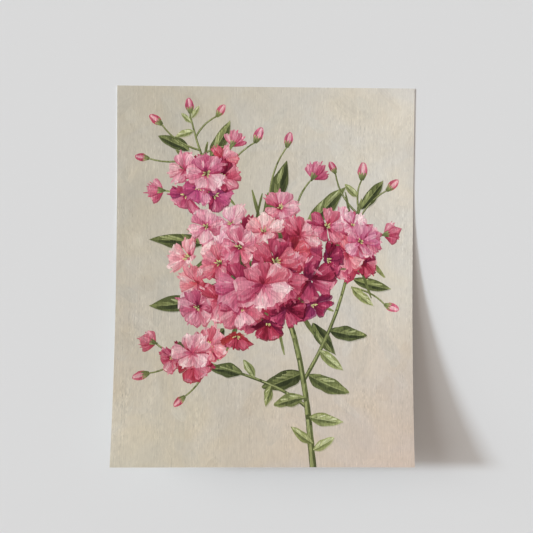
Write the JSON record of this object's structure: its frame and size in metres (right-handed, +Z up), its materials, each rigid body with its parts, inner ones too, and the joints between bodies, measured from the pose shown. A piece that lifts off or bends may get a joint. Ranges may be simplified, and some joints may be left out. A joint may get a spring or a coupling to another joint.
{
  "type": "unframed art print",
  "caption": "Unframed art print: a sheet of heavy matte paper with painted-style blossoms printed to its edges, lying face up with its lower part curling off the surface.",
  "frame": {"origin": "on the surface it lies on, under the middle of the sheet's outline seen from above", "axes": "+Y towards the picture's top edge, +X towards the picture's right side, +Z up out of the picture"},
  "size_m": [0.2794, 0.3514, 0.0405],
  "materials": {
    "print_paper": "matte, printed to the edges in greige, pinks and greens, with a faint ribbed texture; bare off-white back"
  },
  "bodies": {
    "root": {"print_sheet": "print_paper"}
  },
  "joints": []
}
